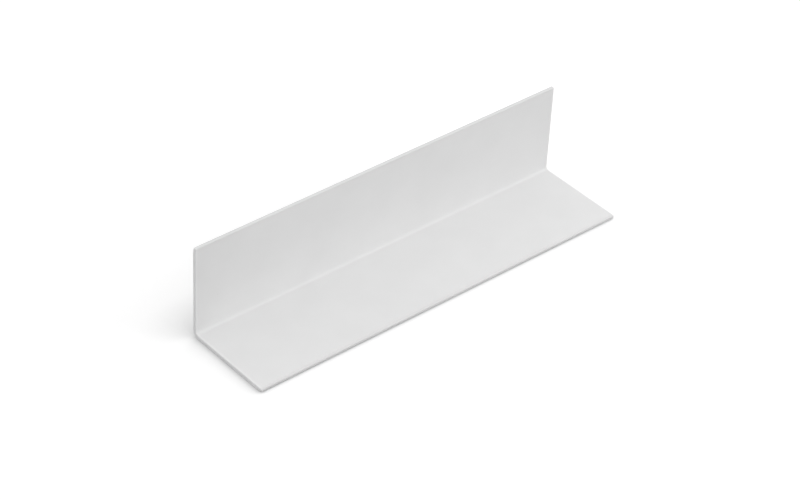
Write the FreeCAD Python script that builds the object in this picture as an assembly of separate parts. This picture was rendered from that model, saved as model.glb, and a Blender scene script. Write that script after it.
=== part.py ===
import FreeCAD, Part
import os

# Corner guard moulding: a short length of rigid extruded plastic angle with two equal legs.
# Frame: X runs along the length, the flat leg lies on Z = 0 and points to -Y, the other leg
# stands up at +Y. The origin is under the middle of the piece.
# Driving dimensions, millimetres.
length = 163.0
leg = 38.1
wall = 1.6
inside_radius = 1.2
ease_length = 2.5
ease_depth = 0.5
tip_round = 0.5
end_break = 0.2

# The outside of the bend follows the inside at the same wall thickness.
outside_radius = inside_radius + wall
# The back of each leg curves in to its tip along one arc that starts tangent to the flat back.
ease_radius = (ease_length ** 2 + ease_depth ** 2) / (2 * ease_depth)
# Sine and cosine of 45 degrees, halfway round every quarter bend.
diagonal = 0.5 ** 0.5


def flat_leg_point(along, through):
    """A section point of the lying leg: distance from the outer corner, distance up from its back."""
    return FreeCAD.Vector(-length / 2, leg / 2 - along, through)


def upright_leg_point(along, through):
    """A section point of the standing leg: distance from the outer corner, distance in from its back."""
    return FreeCAD.Vector(-length / 2, leg / 2 - through, along)


def leg_edges(point):
    """One leg's outline from the end of the outside bend, round the tip, to the start of the inside bend."""
    back_start = point(outside_radius, 0)
    back_end = point(leg - ease_length, 0)
    ease_middle_along = ease_length / 2
    ease_middle_depth = ease_radius - (ease_radius ** 2 - ease_middle_along ** 2) ** 0.5
    ease_middle = point(leg - ease_length + ease_middle_along, ease_middle_depth)
    tip_back = point(leg, ease_depth)
    tip_face = point(leg, wall - tip_round)
    round_drop = tip_round * (1 - diagonal)
    round_middle = point(leg - round_drop, wall - round_drop)
    face_end = point(leg - tip_round, wall)
    face_start = point(wall + inside_radius, wall)
    return [
        Part.LineSegment(back_start, back_end),
        Part.Arc(back_end, ease_middle, tip_back),
        Part.LineSegment(tip_back, tip_face),
        Part.Arc(tip_face, round_middle, face_end),
        Part.LineSegment(face_end, face_start),
    ]


def bend_edge(radius):
    """A quarter arc about the common centre of the inside and outside bends."""
    centre = outside_radius
    middle = centre - radius * diagonal
    return Part.Arc(
        flat_leg_point(centre, centre - radius),
        flat_leg_point(middle, middle),
        upright_leg_point(centre, centre - radius),
    )


def corner_guard():
    """The section is drawn once, pushed along the length and freed of burrs at both sawn ends."""
    curves = leg_edges(flat_leg_point) + leg_edges(upright_leg_point)
    curves += [bend_edge(outside_radius), bend_edge(inside_radius)]
    edges = Part.sortEdges([curve.toShape() for curve in curves])[0]
    section = Part.Face(Part.Wire(edges))
    stock = section.extrude(FreeCAD.Vector(length, 0, 0))
    sawn_ends = [face for face in stock.Faces if abs(face.normalAt(0, 0).x) > diagonal]
    end_edges = [edge for face in sawn_ends for edge in face.Edges]
    return stock.makeChamfer(end_break, end_edges)


guard = corner_guard()
os.makedirs("parts", exist_ok=True)
guard.exportStep("parts/corner_guard.step")
box = guard.BoundBox
print("valid", guard.isValid(), "solids", len(guard.Solids), "volume mm3", round(guard.Volume, 1))
print("size mm", round(box.XLength, 3), round(box.YLength, 3), round(box.ZLength, 3))
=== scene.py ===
import math

import bpy
from mathutils import Matrix, Vector


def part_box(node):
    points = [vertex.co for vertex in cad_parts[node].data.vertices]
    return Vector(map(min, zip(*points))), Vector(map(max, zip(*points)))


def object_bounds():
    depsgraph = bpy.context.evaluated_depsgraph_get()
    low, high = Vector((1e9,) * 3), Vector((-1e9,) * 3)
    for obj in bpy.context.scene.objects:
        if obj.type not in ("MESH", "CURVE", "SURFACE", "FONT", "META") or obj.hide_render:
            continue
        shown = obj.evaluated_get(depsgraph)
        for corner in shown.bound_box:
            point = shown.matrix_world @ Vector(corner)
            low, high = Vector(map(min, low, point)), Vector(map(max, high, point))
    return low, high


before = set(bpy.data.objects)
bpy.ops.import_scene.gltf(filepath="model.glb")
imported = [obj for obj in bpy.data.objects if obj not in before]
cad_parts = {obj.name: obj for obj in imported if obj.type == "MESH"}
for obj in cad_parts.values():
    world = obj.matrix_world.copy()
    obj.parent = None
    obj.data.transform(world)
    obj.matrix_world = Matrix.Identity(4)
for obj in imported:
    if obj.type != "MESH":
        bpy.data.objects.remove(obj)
cad_low, cad_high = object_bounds()


# The guard is one length of rigid white PVC, extruded as an angle with a rounded bend and
# thinned tips, then sawn to length. The die leaves a satin skin with faint lines along it, and
# the saw leaves both ends rougher, with fine marks. Painted shade darkens the thinned tips,
# painted light makes both sawn end faces a little paler, and a painted highlight runs along
# the arris of each sawn end.
MM = 0.001
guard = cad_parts["corner_guard"]
guard_low, guard_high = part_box("corner_guard")

PVC_WHITE = (0.82, 0.82, 0.82, 1.0)
SCATTER_DEPTH = 0.3 * MM
SATIN_ROUGHNESS = (0.44, 0.54)
CLOUD_SIZE = 14 * MM
CLOUD_DETAIL = 4.0
CLOUD_SHADE = (0.985, 1.01)
SPECK_SPACING = 13 * MM
SPECK_RADIUS = 0.3 * MM
SPECK_DARKER = 0.12
DIE_LINE_WIDTH = 0.9 * MM
DIE_LINE_LENGTH = 120 * MM
DIE_LINE_HEIGHT = 0.008 * MM
SKIN_GRAIN = 0.5 * MM
SKIN_DETAIL = 2.0
SKIN_HEIGHT = 0.004 * MM
SAW_MARK_WIDTH = 0.25 * MM
SAW_MARK_LENGTH = 4 * MM
SAW_MARK_HEIGHT = 0.03 * MM
STREAK_DETAIL = 3.0
SAWN_SKIN = 0.02 * MM
# Painted light: both sawn end faces are made this much paler.
SAWN_PAINTED_LIGHT = 0.02
SAWN_ROUGHNESS = 0.7
# Painted highlight along the arris of each sawn end: its width and how much paler it is.
ARRIS_WIDTH = 0.9 * MM
ARRIS_PAINTED_HIGHLIGHT = 0.04
# Painted shade: the thinned tips are darkened by this much over this band.
TIP_SHADE_BAND = 1.2 * MM
TIP_PAINTED_SHADE = 0.08
# Nearly all values of a noise pattern lie between these two.
NOISE_RANGE = (0.3, 0.7)


def node(material, kind, inputs, **settings):
    """A new shader node; each input takes a plain value or another node's output."""
    made = material.node_tree.nodes.new(kind)
    for name, value in settings.items():
        setattr(made, name, value)
    for name, value in inputs.items():
        if isinstance(value, bpy.types.NodeSocket):
            material.node_tree.links.new(value, made.inputs[name])
        else:
            made.inputs[name].default_value = value
    return made.outputs


def math_node(material, operation, *values):
    """The result of one arithmetic step on values or other nodes' outputs."""
    return node(material, "ShaderNodeMath", dict(enumerate(values)), operation=operation)[0]


def ramp_value(material, value, low, high, to_low=0.0, to_high=1.0):
    """A value moved from one range to another and held inside the new range."""
    limits = {"Value": value, "From Min": low, "From Max": high, "To Min": to_low, "To Max": to_high}
    return node(material, "ShaderNodeMapRange", limits)[0]


def noise(material, place, detail, *sizes):
    """A noise pattern with features of the given size along each axis."""
    scale = tuple(1 / size for size in sizes)
    stretched = node(material, "ShaderNodeMapping", {"Vector": place, "Scale": scale})[0]
    pattern = {"Vector": stretched, "Scale": 1.0, "Detail": detail}
    return node(material, "ShaderNodeTexNoise", pattern)[0]


def white_pvc_material():
    """Satin white PVC with clouds, specks, die lines along X and saw marks on the two ends,
    painted shade at each tip, and painted light and a painted highlight at each end.
    """
    pvc = bpy.data.materials.new("white_pvc")
    pvc.use_nodes = True
    place = node(pvc, "ShaderNodeTexCoord", {})["Object"]
    along, across, height = node(pvc, "ShaderNodeSeparateXYZ", {"Vector": place})

    from_middle = math_node(pvc, "ABSOLUTE", along)
    end = guard_high.x
    sawn = ramp_value(pvc, from_middle, end - SAWN_SKIN, end - SAWN_SKIN / 2)
    # Painted highlight: a band beside each end face, but not the face itself, is lightened.
    near_end = ramp_value(pvc, from_middle, end - ARRIS_WIDTH, end - ARRIS_WIDTH / 2)
    arris_highlight = math_node(pvc, "SUBTRACT", near_end, sawn)
    # Painted shade: bands along both thinned tips, darker towards each edge.
    upper_tip_shade = ramp_value(pvc, height, guard_high.z - TIP_SHADE_BAND, guard_high.z)
    front_tip_shade = ramp_value(pvc, across, guard_low.y + TIP_SHADE_BAND, guard_low.y)
    tip_shade = math_node(pvc, "MAXIMUM", upper_tip_shade, front_tip_shade)

    clouds = noise(pvc, place, CLOUD_DETAIL, CLOUD_SIZE, CLOUD_SIZE, CLOUD_SIZE)
    skin = noise(pvc, place, SKIN_DETAIL, SKIN_GRAIN, SKIN_GRAIN, SKIN_GRAIN)
    die_lines = noise(pvc, place, STREAK_DETAIL, DIE_LINE_LENGTH, DIE_LINE_WIDTH, DIE_LINE_WIDTH)
    saw_marks = noise(pvc, place, STREAK_DETAIL, SAW_MARK_LENGTH, SAW_MARK_WIDTH, SAW_MARK_LENGTH)
    cells = node(pvc, "ShaderNodeTexVoronoi", {"Vector": place, "Scale": 1 / SPECK_SPACING})
    specks = ramp_value(pvc, cells["Distance"], SPECK_RADIUS / SPECK_SPACING, 0.0)

    # The tone mixes random clouds and real specks with painted shade on the tips, painted light on
    # the sawn ends and a painted highlight along their arrises.
    tone_and_painted_light = ramp_value(pvc, clouds, *NOISE_RANGE, *CLOUD_SHADE)
    tone_and_painted_light = math_node(pvc, "MULTIPLY_ADD", specks, -SPECK_DARKER, tone_and_painted_light)
    tone_and_painted_light = math_node(pvc, "MULTIPLY_ADD", tip_shade, -TIP_PAINTED_SHADE, tone_and_painted_light)
    # Painted light lightens the sawn end faces.
    tone_and_painted_light = math_node(pvc, "MULTIPLY_ADD", sawn, SAWN_PAINTED_LIGHT, tone_and_painted_light)
    tone_and_painted_light = math_node(pvc, "MULTIPLY_ADD", arris_highlight, ARRIS_PAINTED_HIGHLIGHT, tone_and_painted_light)
    tone = node(pvc, "ShaderNodeHueSaturation", {"Color": PVC_WHITE, "Value": tone_and_painted_light})[0]

    satin = ramp_value(pvc, die_lines, *NOISE_RANGE, *SATIN_ROUGHNESS)
    roughness = math_node(pvc, "MAXIMUM", satin, math_node(pvc, "MULTIPLY", sawn, SAWN_ROUGHNESS))

    saw_height = math_node(pvc, "MULTIPLY", sawn, SAW_MARK_HEIGHT)
    relief = math_node(pvc, "MULTIPLY", die_lines, DIE_LINE_HEIGHT)
    relief = math_node(pvc, "MULTIPLY_ADD", skin, SKIN_HEIGHT, relief)
    relief = math_node(pvc, "MULTIPLY_ADD", saw_marks, saw_height, relief)
    bump = node(pvc, "ShaderNodeBump", {"Height": relief, "Strength": 1.0, "Distance": 1.0})[0]

    surface = pvc.node_tree.nodes["Principled BSDF"]
    surface.inputs["Subsurface Weight"].default_value = 1.0
    surface.inputs["Subsurface Radius"].default_value = (1.0, 1.0, 1.0)
    surface.inputs["Subsurface Scale"].default_value = SCATTER_DEPTH
    pvc.node_tree.links.new(tone, surface.inputs["Base Color"])
    pvc.node_tree.links.new(roughness, surface.inputs["Roughness"])
    pvc.node_tree.links.new(bump, surface.inputs["Normal"])
    return pvc


guard.data.materials.clear()
guard.data.materials.append(white_pvc_material())


# Pale studio walls light the guard evenly from all round, and one large soft box on a low
# stand in front of the far end adds to them.
WALL_WHITE = (1.0, 1.0, 1.0, 1.0)
WALL_LIGHT = 0.87
BOX_SIZE = 1.0
BOX_PLACE = Vector((0.93, -0.53, 0.54))
BOX_POWER = 4.0

studio = bpy.data.worlds.new("studio")
studio.use_nodes = True
studio.node_tree.nodes["Background"].inputs["Color"].default_value = WALL_WHITE
studio.node_tree.nodes["Background"].inputs["Strength"].default_value = WALL_LIGHT
bpy.context.scene.world = studio

aimed = (-BOX_PLACE).to_track_quat("-Z", "Y").to_euler()
bpy.ops.object.light_add(type="AREA", location=BOX_PLACE, rotation=aimed)
soft_box = bpy.context.object
soft_box.name = "soft_box"
soft_box.data.size = BOX_SIZE
soft_box.data.energy = BOX_POWER


# The guard lies on a plain white table top, larger than the picture and a hair high, so that
# the guard's back shows from below. The camera sees it as bright as white paper, with the
# guard's soft shadow, and a painted shadow darkens the paper close to the guard on the side
# away from the soft box.
TABLE_SIZE = 4.0
TABLE_LIFT = 0.01 * MM
TABLE_GREY = (0.40, 0.40, 0.40, 1.0)
PAPER_WHITE = (1.0, 1.0, 1.0, 1.0)
PAPER_GLOW = 0.12
SHADOW_REACH = 20 * MM
SHADOW_DEPTH = 0.42
SHADOW_SAMPLES = 8


def table_material():
    """Matt white: plain paint for the light that bounces, brighter paper for what is seen,
    with a painted shadow close to the guard.
    """
    table = bpy.data.materials.new("table_white")
    table.use_nodes = True
    table.node_tree.nodes.remove(table.node_tree.nodes["Principled BSDF"])
    light_path = node(table, "ShaderNodeLightPath", {})
    seen = math_node(table, "MAXIMUM", light_path["Is Camera Ray"], light_path["Is Glossy Ray"])
    seen = math_node(table, "MAXIMUM", seen, light_path["Is Transmission Ray"])
    paint = node(table, "ShaderNodeBsdfDiffuse", {"Color": TABLE_GREY})[0]

    # Painted shadow: the seen paper is darkened near the guard, on the side away from the soft box.
    toward_box = node(table, "ShaderNodeCombineXYZ", dict(enumerate(BOX_PLACE.normalized())))[0]
    reach = {"Distance": SHADOW_REACH, "Normal": toward_box}
    open_air = node(table, "ShaderNodeAmbientOcclusion", reach, samples=SHADOW_SAMPLES)["AO"]
    painted_shadow_tone = math_node(table, "POWER", open_air, SHADOW_DEPTH)
    paper = node(table, "ShaderNodeBsdfDiffuse", {"Color": painted_shadow_tone})[0]
    glow = node(table, "ShaderNodeEmission", {"Color": PAPER_WHITE, "Strength": PAPER_GLOW})[0]
    bright = node(table, "ShaderNodeAddShader", {0: paper, 1: glow})[0]

    mixed = node(table, "ShaderNodeMixShader", {0: seen, 1: paint, 2: bright})[0]
    output = table.node_tree.nodes["Material Output"]
    table.node_tree.links.new(mixed, output.inputs["Surface"])
    return table


bpy.ops.object.select_all(action="DESELECT")
bpy.ops.mesh.primitive_plane_add(size=TABLE_SIZE, location=(0, 0, guard_low.z + TABLE_LIFT))
table_top = bpy.context.object
table_top.name = "table_top"
table_top.data.materials.append(table_material())


# The camera stands off the near end and looks down into the angle through a long lens.
# It is tipped a little, as a hand-held one is.
CAMERA_AZIMUTH = math.radians(-42.05)
CAMERA_ELEVATION = math.radians(37.24)
CAMERA_ROLL = math.radians(3.16)
CAMERA_DISTANCE = 924.8 * MM
AIM_RIGHT = -4.61 * MM
AIM_UP = -6.25 * MM
LENS = 119.0
SENSOR_WIDTH = 36.0

camera_back = Vector((
    math.sin(CAMERA_AZIMUTH) * math.cos(CAMERA_ELEVATION),
    -math.cos(CAMERA_AZIMUTH) * math.cos(CAMERA_ELEVATION),
    math.sin(CAMERA_ELEVATION),
))
level = (-camera_back).to_track_quat("-Z", "Y").to_matrix()
tipped = level @ Matrix.Rotation(CAMERA_ROLL, 3, "Z")
aim = (cad_low + cad_high) / 2 + tipped @ Vector((AIM_RIGHT, AIM_UP, 0.0))
camera_place = aim + camera_back * CAMERA_DISTANCE
bpy.ops.object.camera_add(location=camera_place, rotation=tipped.to_euler())
camera = bpy.context.object
camera.data.lens = LENS
camera.data.sensor_width = SENSOR_WIDTH
bpy.context.scene.camera = camera
bpy.context.scene.view_settings.view_transform = "Standard"
